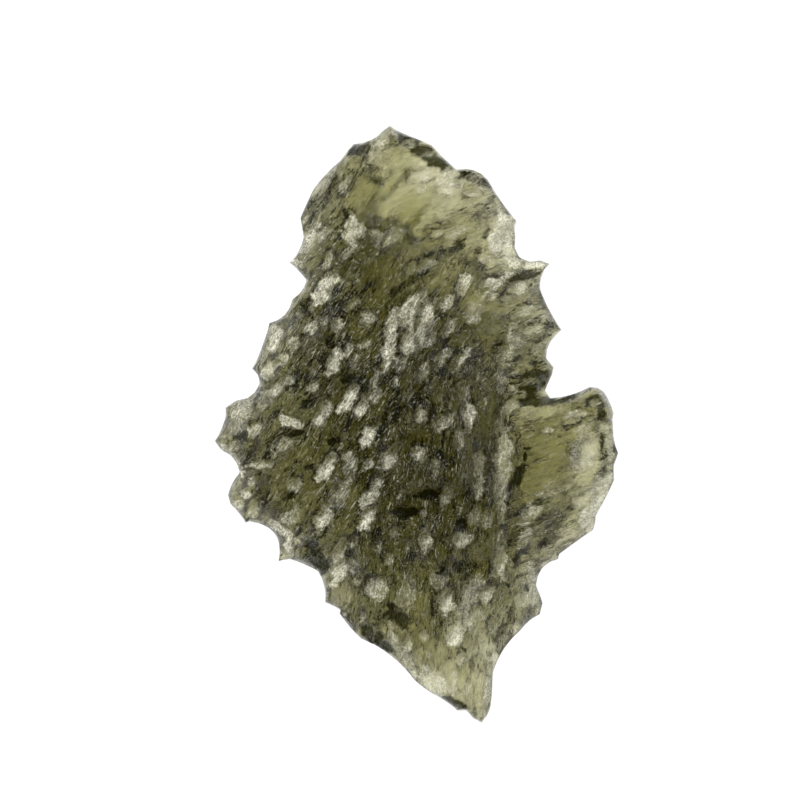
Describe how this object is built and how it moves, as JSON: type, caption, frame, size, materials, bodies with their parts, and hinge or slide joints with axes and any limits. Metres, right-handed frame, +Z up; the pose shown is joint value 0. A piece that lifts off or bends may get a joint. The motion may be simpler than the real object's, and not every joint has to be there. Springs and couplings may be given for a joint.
{
  "type": "moldavite",
  "caption": "Flat leaf-shaped piece of natural green glass with etched, pitted faces and a spiny, scooped rim; lies on a small flat spot.",
  "frame": {"origin": "middle of the stone's length and width, at the level of the flat spot that it lies on", "axes": "+Y along the length, towards the broken top edge; +X across the width, towards the lobe; +Z up, out of the pitted upper face"},
  "size_m": [0.0202, 0.03, 0.007],
  "materials": {
    "olive_glass": "clear olive green natural glass, lustrous, with finely etched pits"
  },
  "bodies": {
    "root": {"moldavite": "olive_glass"}
  },
  "joints": []
}
